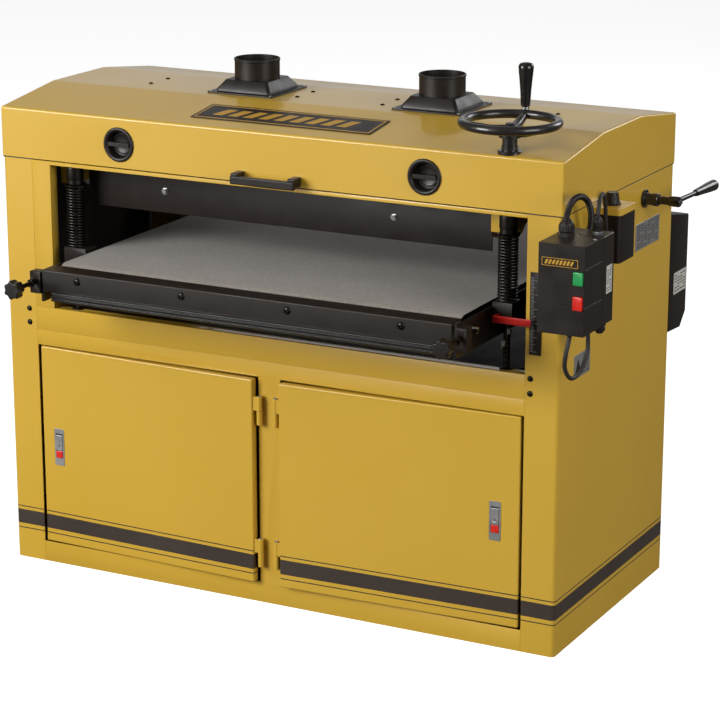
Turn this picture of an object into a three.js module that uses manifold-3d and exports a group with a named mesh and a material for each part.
// A wide double-drum sander: a sheet-steel cabinet with two doors, a hinged hood with two dust
// ports, a lifting conveyor table on four screws, two sanding drums and their drive.
// Millimetres, +Z up, +X to the operator's right, +Y to the back, origin on the floor under the
// middle of the cabinet. Each function below makes one sub-assembly of named pieces.
import * as THREE from "three";
import { mergeVertices } from "three/addons/utils/BufferGeometryUtils.js";
import Module from "manifold-3d";

const wasm = await Module();
wasm.setup();

// ---- driving dimensions ----
const WIDTH = 1360;
const DEPTH = 620;
const BODY_TOP = 947;
const SHEET = 2.5;
const GAP = 0.3;
const FRONT = -DEPTH / 2;
const BACK = DEPTH / 2;
const SIDE = WIDTH / 2;

// openings of the cabinet
const PILLAR_INNER = 603;
const SILL_Z = 610;
const APRON_Z = 557;
const HEADER_Z = 939;
const OPENING_LEFT = -555;
const DOOR_FRAME_LOW = 48;
const DOOR_FRAME_HIGH = 521;
const POST_LEFT = -28;
const POST_RIGHT = 26;
const DECK_TOP = 600;
const DECK_LEFT = -560;

// doors
const DOOR_GAP = 3;
const DOOR_THICK = 18;
const DOOR_PROUD = 19;
const HINGE_X = 20;
const HINGE_Y = -321;
const HINGE_RADIUS = 6;
const HINGE_HEIGHTS = [120, 448];
const KNUCKLE = 32;
const LATCH_LOW = 240;
const LATCH_HIGH = 327;
const LATCH_WIDTH = 26;
const LATCH_PROUD = 1.2;
const LATCH_LEVER = [275, 312];
const LATCH_BUTTON = [257.5, 274];
const LATCH_KEY_HALF = 9;
const LATCH_CENTRE = { left: -552, right: 541.5 };

// hood
const HOOD_LOW = 950;
const HOOD_SHOULDER = 1061;
const HOOD_TOP = 1088;
const HOOD_FLAT_HALF = 105;
const HOOD_LIP = 1.5;
const HOOD_SHEET = 2;
const PORT_X = [-200, 260];
const PORT_NAMES = ["dust_port_left", "dust_port_right"];
const PORT_RADIUS = 51;
const PORT_WALL = 2.5;
const PORT_TOP = 1161;
const PORT_SIDES = 16;
const PORT_HOLE_HALF = 58;
const HOOD_LATCH_X = 371;
const HOOD_LATCH_Z = 1001.6;
const HOOD_LATCH_RADIUS = 38.5;

// lift screws, springs and handwheel
const SCREW_X = { left: -507, right: 549 };
const SCREW_Y = { front: -283, rear: 283 };
const SCREW_RADIUS = 8;
const SCREW_FOOT_RADIUS = 14;
const COLLAR_LOW = 893;
const COLLAR_TOP = 937;
const SPRING_RADIUS = 22;
const WHEEL_RIM_RADIUS = 97.5;
const WHEEL_TUBE = 9.5;
const WHEEL_Z = 1126;

// conveyor table
const TABLE_X = 27;
const BELT_HALF_WIDTH = 483;
const BELT_TOP = 750;
const BELT_THICK = 2;
const ROLLER_RADIUS = 28;
const ROLLER_Y = 405;
const ROLLER_Z = BELT_TOP - BELT_THICK - ROLLER_RADIUS;
const PLATE_INNER = 493;
const PLATE_OUTER = 499;
const TABLE_NOSE = -480;
const NUT_LOW = 718;
const NUT_TOP = 755;
const BOLT_OFFSET = 510;

// sanding head
const DRUM_RADIUS = 63.5;
const DRUM_Y = 112;
const DRUM_Z = 906.5;
const DRUM_ENDS = [-457, 491];
const SHAFT_RADIUS = 12;
const PULLEY_X = [-598, -574];
const PULLEY_RADIUS = 50;
const MOTOR_Z = 250;
const MOTOR_PULLEY_RADIUS = 60;
const DRIVE_BELT_THICK = 6;

const SIDES = 24;
const machine = new THREE.Group();

const paint = (color, roughness, metalness = 0) =>
  new THREE.MeshStandardMaterial({ color, roughness, metalness });
const YELLOW = paint(0xd2a63c, 0.3);
const BLACK = paint(0x26211e, 0.45);
const STEEL = paint(0x8d8f92, 0.35, 1);
const BELT_GREY = paint(0x8a837b, 0.9);
const RUBBER = paint(0x1c1a19, 0.8);
const SILVER = paint(0xb9b9bb, 0.4, 0.6);
const RED = paint(0xc81e18, 0.4);
const GREEN = paint(0x1f8a4c, 0.4);
const ABRASIVE = paint(0x7d4630, 0.95);

// ---- small tools ----
function toSolid(geometry) {
  const bare = geometry.clone();
  bare.deleteAttribute("normal");
  bare.deleteAttribute("uv");
  const merged = mergeVertices(bare, 1e-4);
  const mesh = new wasm.Mesh({
    numProp: 3,
    vertProperties: new Float32Array(merged.attributes.position.array),
    triVerts: new Uint32Array(merged.index.array),
  });
  return new wasm.Manifold(mesh);
}

function toGeometry(solid) {
  const mesh = solid.getMesh();
  const geometry = new THREE.BufferGeometry();
  geometry.setAttribute("position", new THREE.BufferAttribute(mesh.vertProperties, 3));
  geometry.setIndex(new THREE.BufferAttribute(mesh.triVerts, 1));
  geometry.computeVertexNormals();
  return geometry;
}

const join = (...pieces) => toGeometry(pieces.map(toSolid).reduce((a, b) => a.add(b)));
const cut = (base, ...tools) =>
  toGeometry(tools.map(toSolid).reduce((a, b) => a.subtract(b), toSolid(base)));

function add(name, geometry, material) {
  const mesh = new THREE.Mesh(geometry, material);
  mesh.name = name;
  machine.add(mesh);
}

// A box between two corners.
function block(x0, x1, y0, y1, z0, z1) {
  const box = new THREE.BoxGeometry(x1 - x0, y1 - y0, z1 - z0);
  return box.translate((x0 + x1) / 2, (y0 + y1) / 2, (z0 + z1) / 2);
}

// A round bar from one point to another, straight or tapered.
function rod(from, to, radius, endRadius = radius, sides = SIDES) {
  const start = new THREE.Vector3(...from);
  const along = new THREE.Vector3(...to).sub(start);
  const bar = new THREE.CylinderGeometry(endRadius, radius, along.length(), sides);
  bar.translate(0, along.length() / 2, 0);
  const up = new THREE.Vector3(0, 1, 0);
  bar.applyQuaternion(new THREE.Quaternion().setFromUnitVectors(up, along.normalize()));
  return bar.translate(start.x, start.y, start.z);
}

// A ring about a vertical axis, from a closed outline of [radius, height] points.
function ring(outline, x, y, sides = SIDES) {
  const points = [...outline, outline[0]].map(([r, z]) => new THREE.Vector2(r, z));
  const lathe = new THREE.LatheGeometry(points, sides);
  return lathe.rotateX(Math.PI / 2).translate(x, y, 0);
}

// A flat shape drawn in one plane and given a thickness along X, from an outline of [y, z] points.
function profileX(outline, x0, x1) {
  const shape = new THREE.Shape(outline.map(([y, z]) => new THREE.Vector2(y, z)));
  const body = new THREE.ExtrudeGeometry(shape, { depth: x1 - x0, bevelEnabled: false });
  return body.rotateY(Math.PI / 2).rotateX(Math.PI / 2).translate(x0, 0, 0);
}

// The same along Z, from an outline of [x, y] points.
function profileZ(outline, z0, z1) {
  const shape = new THREE.Shape(outline.map(([x, y]) => new THREE.Vector2(x, y)));
  const body = new THREE.ExtrudeGeometry(shape, { depth: z1 - z0, bevelEnabled: false });
  return body.translate(0, 0, z0);
}

// A cable of round section along a smooth curve.
function cable(points, radius, steps) {
  const circle = new THREE.Shape().absarc(0, 0, radius, 0, 2 * Math.PI);
  const curve = new THREE.CatmullRomCurve3(points.map((p) => new THREE.Vector3(...p)));
  return new THREE.ExtrudeGeometry(circle, { steps, extrudePath: curve, curveSegments: 4 });
}

// ---- cabinet ----
function cabinet() {
  const inner = SIDE - SHEET - GAP;
  add("floor_pan", block(-inner, inner, FRONT + 2.8, BACK - 2.8, 0, 3), YELLOW);
  for (const [name, s] of [["left_side_panel", -1], ["right_side_panel", 1]]) {
    const outline = [
      [PILLAR_INNER, FRONT], [SIDE, FRONT], [SIDE, BACK], [PILLAR_INNER, BACK],
      [PILLAR_INNER, BACK - SHEET], [SIDE - SHEET, BACK - SHEET],
      [SIDE - SHEET, FRONT + SHEET], [PILLAR_INNER, FRONT + SHEET],
    ].map(([x, y]) => [s * x, y]);
    add(name, profileZ(outline, 0, BODY_TOP), YELLOW);
  }

  const edge = PILLAR_INNER - GAP;
  const skin = FRONT + SHEET;
  const lower = [
    block(-edge, edge, FRONT, skin, 0, DOOR_FRAME_LOW),
    block(POST_LEFT, POST_RIGHT, FRONT, skin, 0, APRON_Z - GAP),
    block(-edge, edge, FRONT, skin, DOOR_FRAME_HIGH, APRON_Z - GAP),
  ];
  for (const s of [-1, 1]) {
    for (const z of HINGE_HEIGHTS) {
      const low = z - KNUCKLE - GAP;
      const x = s * HINGE_X;
      lower.push(rod([x, HINGE_Y, low], [x, HINGE_Y, z - GAP], HINGE_RADIUS, HINGE_RADIUS, 12));
      lower.push(block(x - 2, x + 2, HINGE_Y, FRONT + 1, low, z - GAP));
    }
  }
  add("front_door_frame", join(...lower), YELLOW);

  const apron = [
    block(-edge, edge, FRONT, skin, APRON_Z, SILL_Z),
    block(-edge, edge, FRONT, FRONT + 28, SILL_Z - SHEET, SILL_Z),
  ];
  const notches = Object.values(SCREW_X).map((x) =>
    rod([x, SCREW_Y.front, APRON_Z], [x, SCREW_Y.front, SILL_Z + 20], SCREW_FOOT_RADIUS + 1));
  add("front_apron", cut(join(...apron), ...notches), YELLOW);

  const filler = [
    block(-edge, edge, FRONT, FRONT + 4, HEADER_Z, BODY_TOP),
    block(-edge, OPENING_LEFT, FRONT, skin, SILL_Z + GAP, HEADER_Z + 1),
    block(OPENING_LEFT - SHEET, OPENING_LEFT, FRONT, FRONT + 26, SILL_Z + GAP, HEADER_Z + 1),
  ];
  add("opening_surround", join(...filler), YELLOW);

  const rear = block(-edge, edge, BACK - SHEET, BACK, 0, BODY_TOP);
  const outfeed = block(OPENING_LEFT, edge + 1, BACK - 9, BACK + 9, SILL_Z, HEADER_Z);
  add("rear_panel", cut(rear, outfeed), YELLOW);

  const deckDepth = BACK - SHEET - GAP;
  const deck = block(DECK_LEFT, inner, -deckDepth, deckDepth, DECK_TOP - 3, DECK_TOP);
  add("machine_deck", deck, BLACK);

  const guard = block(-497, 494, -242, -239, 844, 936);
  add("infeed_guard", guard, BLACK);
  add("thickness_scale", block(612, 638, FRONT - 2.3, FRONT - GAP, 655, 829), BLACK);

  const boxOutline = [[BACK + GAP, 559], [389, 554], [421, 586], [423, 812], [BACK + GAP, 833]];
  add("contactor_box", profileX(boxOutline, 560, 678), BLACK);
}

// ---- doors: shallow pans hung on the middle post, a little proud at the hinge side ----
function door(side) {
  const s = side === "left" ? -1 : 1;
  const outer = s < 0 ? PILLAR_INNER - 4 - DOOR_GAP : 599 - DOOR_GAP;
  const inner = s < 0 ? -POST_LEFT + 6 : POST_RIGHT + 6;
  const low = DOOR_FRAME_LOW + DOOR_GAP;
  const high = DOOR_FRAME_HIGH - DOOR_GAP;
  const lean = DOOR_PROUD / (outer - inner);
  const front = (x) => FRONT - GAP - DOOR_PROUD + (Math.abs(x) - inner) * lean;
  const wall = 2;
  const pan = [
    [s * inner, front(inner)], [s * outer, front(outer)],
    [s * outer, front(outer) + DOOR_THICK], [s * inner, front(inner) + DOOR_THICK],
  ];
  const hollow = [
    [s * (inner + wall), front(inner + wall) + wall], [s * (outer - wall), front(outer - wall) + wall],
    [s * (outer - wall), front(outer) + 40], [s * (inner + wall), front(inner) + 40],
  ];
  const latchX = LATCH_CENTRE[side];
  const face = front(Math.abs(latchX));
  const bezelHalf = LATCH_WIDTH / 2;
  const holeHalf = LATCH_KEY_HALF + 1;
  const bezel = block(latchX - bezelHalf, latchX + bezelHalf, face - LATCH_PROUD, face + 1, LATCH_LOW, LATCH_HIGH);
  const hole = block(latchX - holeHalf, latchX + holeHalf, face - 40, face + 9, LATCH_BUTTON[0] - 2, LATCH_LEVER[1] + 4);
  let body = toSolid(profileZ(pan, low, high));
  body = body.subtract(toSolid(profileZ(hollow, low + wall, high - wall)));
  body = body.add(toSolid(bezel)).subtract(toSolid(hole));
  for (const z of HINGE_HEIGHTS) {
    const x = s * HINGE_X;
    const pin = rod([x, HINGE_Y, z + GAP], [x, HINGE_Y, z + KNUCKLE], HINGE_RADIUS, HINGE_RADIUS, 12);
    const leafInner = s < 0 ? -inner - 1 : x;
    const leafOuter = s < 0 ? x : inner + 1;
    const leaf = block(leafInner, leafOuter, HINGE_Y - 4, HINGE_Y - 1, z + GAP, z + KNUCKLE);
    body = body.add(toSolid(pin)).add(toSolid(leaf));
  }
  add(`door_${side}`, toGeometry(body), YELLOW);

  // The latch: a lever above and a square push button below, both set in the door's face.
  const key = ([z0, z1]) =>
    block(latchX - LATCH_KEY_HALF, latchX + LATCH_KEY_HALF, face - 2.5, face + 8, z0, z1);
  add(`door_latch_lever_${side}`, key(LATCH_LEVER), SILVER);
  add(`door_latch_button_${side}`, key(LATCH_BUTTON), RED);
}

// ---- hood ----
function hood() {
  const outline = (inset, low) => [
    [FRONT - HOOD_LIP + inset, low], [BACK + HOOD_LIP - inset, low],
    [BACK + HOOD_LIP - inset, HOOD_SHOULDER - inset], [HOOD_FLAT_HALF, HOOD_TOP - inset],
    [-HOOD_FLAT_HALF, HOOD_TOP - inset], [FRONT - HOOD_LIP + inset, HOOD_SHOULDER - inset],
  ];
  const outerX = SIDE + HOOD_LIP;
  const shell = profileX(outline(0, HOOD_LOW), -outerX, outerX);
  const inside = profileX(outline(HOOD_SHEET, HOOD_LOW - 9), -outerX + HOOD_SHEET, outerX - HOOD_SHEET);
  const holes = PORT_X.map((x) =>
    block(x - PORT_HOLE_HALF, x + PORT_HOLE_HALF, -PORT_HOLE_HALF, PORT_HOLE_HALF, 1040, 1140));
  for (const s of [-1, 1]) {
    const x = s * HOOD_LATCH_X;
    holes.push(rod([x, FRONT - 30, HOOD_LATCH_Z], [x, FRONT + 30, HOOD_LATCH_Z], 33));
  }
  const wheelX = SCREW_X.right;
  holes.push(rod([wheelX, SCREW_Y.front, 1020], [wheelX, SCREW_Y.front, 1110], 16));
  add("hood", cut(shell, inside, ...holes), YELLOW);

  // dust ports: square flange, sloped collar and a round spigot, open right through
  PORT_NAMES.forEach((name, i) => {
    const x = PORT_X[i];
    const base = HOOD_TOP + GAP;
    const flange = block(x - 83, x + 83, -82, 82, base, base + 3);
    const collar = new THREE.CylinderGeometry(52 * Math.SQRT2, 68 * Math.SQRT2, 26, 4);
    collar.rotateY(Math.PI / 4).rotateX(Math.PI / 2).translate(x, 0, base + 15);
    const boreRadius = PORT_RADIUS - PORT_WALL;
    const spigot = rod([x, 0, base], [x, 0, PORT_TOP], PORT_RADIUS, PORT_RADIUS, PORT_SIDES);
    const bore = rod([x, 0, 1050], [x, 0, 1200], boreRadius, boreRadius, PORT_SIDES);
    add(name, cut(join(flange, collar, spigot), bore), BLACK);
  });

  // pull handle: a bar on two feet
  const skin = FRONT - HOOD_LIP - GAP;
  const bar = block(-83, 83, skin - 36, skin - 24, 950, 968);
  const feet = [-1, 1].map((s) => block(s * 74 - 9, s * 74 + 9, skin - 25, skin, 953, 974));
  add("hood_handle", join(bar, ...feet), BLACK);

  // quarter-turn latches: a dished dial with a bar across it
  for (const [name, s] of [["hood_latch_left", -1], ["hood_latch_right", 1]]) {
    const x = s * HOOD_LATCH_X;
    const dial = (y0, y1, r, sides) => rod([x, y0, HOOD_LATCH_Z], [x, y1, HOOD_LATCH_Z], r, r, sides);
    const cup = join(dial(skin - 4, skin, HOOD_LATCH_RADIUS, 32), dial(skin - 1, skin + 22, 31, SIDES));
    const dish = dial(skin - 9, skin + 14, 28, SIDES);
    const grip = block(x - 27.9, x + 27.9, skin - 3, skin + 18, HOOD_LATCH_Z - 4, HOOD_LATCH_Z + 4);
    add(name, join(cut(cup, dish), grip), BLACK);
  }
}

// ---- handwheel: dished, three spokes, with a turning grip; its shaft drives the lift screw ----
function handwheel() {
  const x = SCREW_X.right;
  const y = SCREW_Y.front;
  const rimPoints = Array.from({ length: 8 }, (_, i) => {
    const a = (i * Math.PI) / 4;
    return [WHEEL_RIM_RADIUS + WHEEL_TUBE * Math.cos(a), WHEEL_Z + WHEEL_TUBE * Math.sin(a)];
  });
  const parts = [
    ring(rimPoints, x, y, 36),
    rod([x, y, 970], [x, y, 1082], 13),
    rod([x, y, 1080], [x, y, 1108], 24.5),
  ];
  for (const turn of [96, 216, 336]) {
    const a = THREE.MathUtils.degToRad(turn);
    const at = (r, z) => [x + r * Math.cos(a), y + r * Math.sin(a), z];
    parts.push(rod(at(10, 1100), at(WHEEL_RIM_RADIUS, WHEEL_Z), 10, 8, 8));
  }
  add("handwheel", join(...parts), BLACK);

  const a = THREE.MathUtils.degToRad(96);
  const gx = x + WHEEL_RIM_RADIUS * Math.cos(a);
  const gy = y + WHEEL_RIM_RADIUS * Math.sin(a);
  const base = WHEEL_Z + WHEEL_TUBE + GAP;
  const grip = join(rod([gx, gy, base], [gx, gy, base + 7], 6, 6, 16),
    rod([gx, gy, base + 6], [gx, gy, base + 97], 10, 16, 16));
  add("wheel_grip", grip, BLACK);
}

// ---- lift screws with thrust collars, and the springs on the front pair ----
function lifting() {
  for (const side of ["left", "right"]) {
    for (const end of ["front", "rear"]) {
      const x = SCREW_X[side];
      const y = SCREW_Y[end];
      const top = side === "right" && end === "front" ? 969 : 944;
      const screw = join(
        rod([x, y, DECK_TOP + GAP], [x, y, top], SCREW_RADIUS, SCREW_RADIUS, 16),
        rod([x, y, DECK_TOP + GAP], [x, y, DECK_TOP + 12], SCREW_FOOT_RADIUS, SCREW_FOOT_RADIUS, 16),
        rod([x, y, COLLAR_LOW + 2], [x, y, COLLAR_TOP], 20),
        rod([x, y, COLLAR_LOW], [x, y, COLLAR_LOW + 3], 24),
      );
      add(`lift_screw_${end}_${side}`, screw, STEEL);
    }
    const low = NUT_TOP + GAP;
    const high = COLLAR_LOW - GAP;
    const wall = [[SPRING_RADIUS - 5, low], [SPRING_RADIUS, low], [SPRING_RADIUS, high], [SPRING_RADIUS - 5, high]];
    add(`lift_spring_${side}`, ring(wall, SCREW_X[side], SCREW_Y.front, 16), STEEL);
  }
}

// ---- conveyor table ----
function table() {
  const left = TABLE_X - BELT_HALF_WIDTH;
  const right = TABLE_X + BELT_HALF_WIDTH;
  add("table_bed", block(left + 4, right - 4, -372, 372, 737, BELT_TOP - BELT_THICK - 1), STEEL);

  const loop = (radius) => {
    const shape = new THREE.Shape();
    shape.absarc(ROLLER_Y, ROLLER_Z, radius, -Math.PI / 2, Math.PI / 2, false);
    shape.absarc(-ROLLER_Y, ROLLER_Z, radius, Math.PI / 2, (3 * Math.PI) / 2, false);
    return shape.getPoints(16).slice(0, -1).map((p) => [p.x, p.y]);
  };
  const outside = profileX(loop(ROLLER_RADIUS + BELT_THICK), left, right);
  const inside = profileX(loop(ROLLER_RADIUS + 0.5), left - 9, right + 9);
  add("conveyor_belt", cut(outside, inside), BELT_GREY);

  for (const [name, s] of [["conveyor_roller_front", -1], ["conveyor_roller_rear", 1]]) {
    const y = s * ROLLER_Y;
    const body = rod([left + 5, y, ROLLER_Z], [right - 5, y, ROLLER_Z], ROLLER_RADIUS);
    const reach = s < 0 ? BOLT_OFFSET + 4 : PLATE_OUTER + 4;
    const axle = rod([TABLE_X - reach, y, ROLLER_Z], [TABLE_X + reach, y, ROLLER_Z], 7.5, 7.5, 16);
    add(name, join(body, axle), STEEL);
  }

  for (const [side, s] of [["left", -1], ["right", 1]]) {
    const span = (a, b) => (s < 0 ? [TABLE_X - b, TABLE_X - a] : [TABLE_X + a, TABLE_X + b]);
    const plate = block(...span(PLATE_INNER, PLATE_OUTER), TABLE_NOSE + 2, 470, 676, 745);
    const ear = block(...span(PLATE_OUTER - 1, BOLT_OFFSET + 14), TABLE_NOSE - 4, TABLE_NOSE + 22, 694, 742);
    const boltX = TABLE_X + s * BOLT_OFFSET;
    const screwX = SCREW_X[side];
    const arms = [];
    for (const end of ["front", "rear"]) {
      const y = SCREW_Y[end];
      const x0 = s < 0 ? screwX - 20 : TABLE_X + PLATE_OUTER - 1;
      const x1 = s < 0 ? TABLE_X - PLATE_OUTER + 1 : screwX + 20;
      arms.push(block(x0, x1, y - 22, y + 22, NUT_LOW, NUT_TOP));
    }
    const holes = [
      block(...span(PLATE_INNER - 5, PLATE_OUTER + 5), -430, -390, ROLLER_Z - 7.9, ROLLER_Z + 7.9),
      rod([TABLE_X, ROLLER_Y, ROLLER_Z], [TABLE_X + s * 540, ROLLER_Y, ROLLER_Z], 8, 8, 16),
      rod([boltX, TABLE_NOSE - 20, ROLLER_Z], [boltX, TABLE_NOSE + 60, ROLLER_Z], 6.5, 6.5, 16),
      ...["front", "rear"].map((end) =>
        rod([screwX, SCREW_Y[end], 650], [screwX, SCREW_Y[end], 800], SCREW_RADIUS + 0.5, SCREW_RADIUS + 0.5, 16)),
    ];
    add(`table_side_${side}`, cut(join(plate, ear, ...arms), ...holes), BLACK);

    // belt-tension screw: pushes the front axle, turned by a lobed knob
    const knobY = TABLE_NOSE - 85;
    const lobes = new THREE.Shape();
    for (let i = 0; i <= 42; i += 1) {
      const t = (i / 42) * 2 * Math.PI;
      const r = 19.5 + 2 * Math.cos(7 * t);
      const method = i ? "lineTo" : "moveTo";
      lobes[method](r * Math.cos(t), r * Math.sin(t));
    }
    const knob = new THREE.ExtrudeGeometry(lobes, { depth: 26, bevelEnabled: false });
    knob.rotateX(Math.PI / 2).translate(boltX, knobY + 13, ROLLER_Z);
    const stem = rod([boltX, knobY + 12, ROLLER_Z], [boltX, -ROLLER_Y - 8.2, ROLLER_Z], 6, 6, 16);
    add(`tension_knob_${side}`, join(knob, stem), BLACK);
  }

  const nose = TABLE_X - PLATE_INNER + 2;
  const noseRight = TABLE_X + PLATE_INNER - 2;
  const guard = join(
    block(nose, noseRight, TABLE_NOSE - 4, TABLE_NOSE, 700, BELT_TOP - 1),
    block(nose, noseRight, TABLE_NOSE - 4, -437, BELT_TOP - 4, BELT_TOP - 1),
    block(nose + 26, noseRight - 26, TABLE_NOSE - 12, TABLE_NOSE, 682, 702),
  );
  add("front_guard", guard, BLACK);

  const tip = [[536, -329], [600, -329], [620, -325], [600, -325], [536, -325]];
  const arm = block(536, 544, -327, -305.5, 718, 732);
  add("thickness_pointer", join(profileZ(tip, 717.5, 732.5), arm), RED);
}

// ---- sanding head and drive ----
function turned(outline, y, z) {
  const points = outline.map(([x, r]) => new THREE.Vector2(r, x));
  const lathe = new THREE.LatheGeometry(points, SIDES);
  return lathe.rotateZ(-Math.PI / 2).translate(0, y, z);
}

// The outline of a belt round a set of pulleys [y, z, radius], taken anticlockwise.
function beltOutline(pulleys) {
  const shape = new THREE.Shape();
  const count = pulleys.length;
  const tangent = (a, b) => {
    const along = Math.atan2(b[1] - a[1], b[0] - a[0]);
    const gap = Math.hypot(b[0] - a[0], b[1] - a[1]);
    return along - Math.PI / 2 + Math.asin((b[2] - a[2]) / gap) * -1;
  };
  pulleys.forEach((here, i) => {
    const before = pulleys[(i + count - 1) % count];
    const after = pulleys[(i + 1) % count];
    shape.absarc(here[0], here[1], here[2], tangent(before, here), tangent(here, after), false);
  });
  return shape.getPoints(16).slice(0, -1).map((p) => [p.x, p.y]);
}

function head() {
  const beams = { left: [-562, -527], right: [497, 532] };
  for (const side of ["left", "right"]) {
    const [x0, x1] = beams[side];
    const bar = block(x0, x1, -256, 256, 889, COLLAR_TOP);
    const bores = [-DRUM_Y, DRUM_Y].map((y) => rod([x0 - 9, y, DRUM_Z], [x1 + 9, y, DRUM_Z], SHAFT_RADIUS + 0.6));
    add(`head_beam_${side}`, cut(bar, ...bores), YELLOW);
  }
  const shaftEnds = [PULLEY_X[0] - 4, beams.right[1] + 6];
  for (const [name, y] of [["sanding_drum_front", -DRUM_Y], ["sanding_drum_rear", DRUM_Y]]) {
    const outline = [
      [shaftEnds[0], 0], [shaftEnds[0], SHAFT_RADIUS],
      [PULLEY_X[0], SHAFT_RADIUS], [PULLEY_X[0], PULLEY_RADIUS],
      [PULLEY_X[1], PULLEY_RADIUS], [PULLEY_X[1], SHAFT_RADIUS],
      [DRUM_ENDS[0], SHAFT_RADIUS], [DRUM_ENDS[0], DRUM_RADIUS],
      [DRUM_ENDS[1], DRUM_RADIUS], [DRUM_ENDS[1], SHAFT_RADIUS],
      [shaftEnds[1], SHAFT_RADIUS], [shaftEnds[1], 0],
    ];
    add(name, turned(outline, y, DRUM_Z), ABRASIVE);
  }

  const slack = 0.8;
  const pulleys = (extra) => [
    [0, MOTOR_Z, MOTOR_PULLEY_RADIUS + extra],
    [DRUM_Y, DRUM_Z, PULLEY_RADIUS + extra],
    [-DRUM_Y, DRUM_Z, PULLEY_RADIUS + extra],
  ];
  const outer = profileX(beltOutline(pulleys(slack + DRIVE_BELT_THICK)), -594, -578);
  const inner = profileX(beltOutline(pulleys(slack)), -600, -570);
  add("drive_belt", cut(outer, inner), RUBBER);

  const motorPulley = [
    [PULLEY_X[0], 0], [PULLEY_X[0], MOTOR_PULLEY_RADIUS], [PULLEY_X[1], MOTOR_PULLEY_RADIUS],
    [PULLEY_X[1], SHAFT_RADIUS], [-521, SHAFT_RADIUS], [-521, 0],
  ];
  add("motor_pulley", turned(motorPulley, 0, MOTOR_Z), STEEL);
  const motor = join(
    rod([-520, 0, MOTOR_Z], [-200, 0, MOTOR_Z], 92),
    block(-480, -440, -80, 80, 3.6, MOTOR_Z - 40),
    block(-290, -250, -80, 80, 3.6, MOTOR_Z - 40),
    block(-420, -310, -50, 50, MOTOR_Z + 70, MOTOR_Z + 125),
  );
  add("drive_motor", motor, BLACK);
}

// ---- controls on the right side ----
function controls() {
  const x0 = SIDE + GAP;
  const housingY = [-345, -287];
  const coverY = -439;
  const low = 743;
  const high = 926;
  const coverLeft = 684;
  const right = 783;
  const housing = join(
    block(x0, right, ...housingY, low, high),
    rod([757, -314, high - 1], [757, -314, high + 34], 14, 12, 16),
    rod([768, -318, low - 22], [768, -318, low + 1], 13, 13, 16),
  );
  add("switch_box", housing, BLACK);
  const keys = [["start_button", 846.5, 873.5, GREEN], ["stop_button", 796, 824, RED]];
  const keyX = [759, 780];
  let cover = toSolid(block(coverLeft, right, coverY, housingY[0] - GAP, low, high));
  cover = cover.add(toSolid(rod([712, -366, high - 1], [712, -366, high + 34], 14, 12, 16)));
  for (const [name, z0, z1, colour] of keys) {
    const pocket = block(keyX[0] - 0.5, keyX[1] + 0.5, coverY - 5, coverY + 9, z0 - 0.5, z1 + 0.5);
    cover = cover.subtract(toSolid(pocket));
    add(name, block(...keyX, coverY - 3.5, coverY + 4, z0, z1), colour);
  }
  add("switch_cover", toGeometry(cover), BLACK);

  const conduit = [
    [712, -366, high + 34.5], [712, -366, high + 42], [714, -346, 991], [716, -310, 995],
    [717, -272, 978], [716, -250, 946], [708, -240, 908], [SIDE + 16, -238, 890], [SIDE + 1, -238, 890],
  ];
  add("motor_conduit", cable(conduit, 6.5, 30), RUBBER);
  const speedLead = [
    [757, -314, high + 34.5], [757, -314, high + 42], [755, -304, 984], [749, -280, 994],
    [740, -245, 989], [733, -218, 964], [730, -206, 925], [729, -196, 902], [729, -186, 897], [729, -177, 897],
  ];
  add("speed_cable", cable(speedLead, 4.2, 30), RUBBER);
  const loop = [
    [745, -418, low - 0.4], [745, -419, low - 12], [743, -428, 705], [738, -422, 672], [735, -380, 638],
    [735, -329, 644], [735, -298, 678], [735, -302, low - 12], [735, -303, low - 0.4],
  ];
  add("control_cable", cable(loop, 4.5, 30), RUBBER);

  // speed control: a box with a lid plate and a turning knob
  const boxY = [-176, -94];
  const boxRight = 750;
  const lid = 940;
  add("speed_box", block(x0, boxRight, ...boxY, 831, lid), BLACK);
  add("speed_box_lid", block(x0, boxRight + 1, boxY[0] - 1, boxY[1] + 1, lid + GAP, lid + 5), YELLOW);
  const knob = [[0, lid + 5.3], [19, lid + 5.3], [19, lid + 9], [14.5, lid + 10], [12, lid + 31], [0, lid + 31]];
  const knobPoints = knob.map(([r, z]) => new THREE.Vector2(r, z));
  const knobBody = new THREE.LatheGeometry(knobPoints, SIDES);
  knobBody.rotateX(Math.PI / 2).translate(714, -134, 0);
  add("speed_knob", knobBody, BLACK);

  // drum-height lever on its flange
  const leverY = 134;
  const leverZ = 902;
  const flange = join(
    rod([x0, leverY, leverZ], [x0 + 4, leverY, leverZ], 20),
    rod([x0 + 3, leverY, leverZ], [x0 + 34, leverY, leverZ], 13),
  );
  add("lever_flange", flange, BLACK);
  const shaftX = 752;
  const reach = 240;
  const droop = 8 / reach;
  const along = (length) => [shaftX, leverY + length, leverZ - length * droop];
  const lever = join(
    rod([x0 + 34.3, leverY, leverZ], [shaftX + 9, leverY, leverZ], 9),
    rod(along(0), along(120), 5.5, 5.5, 12),
    rod(along(116), along(reach), 7, 12, 16),
  );
  add("drum_lever", lever, BLACK);
}

cabinet();
door("left");
door("right");
hood();
handwheel();
lifting();
table();
head();
controls();

export default machine;
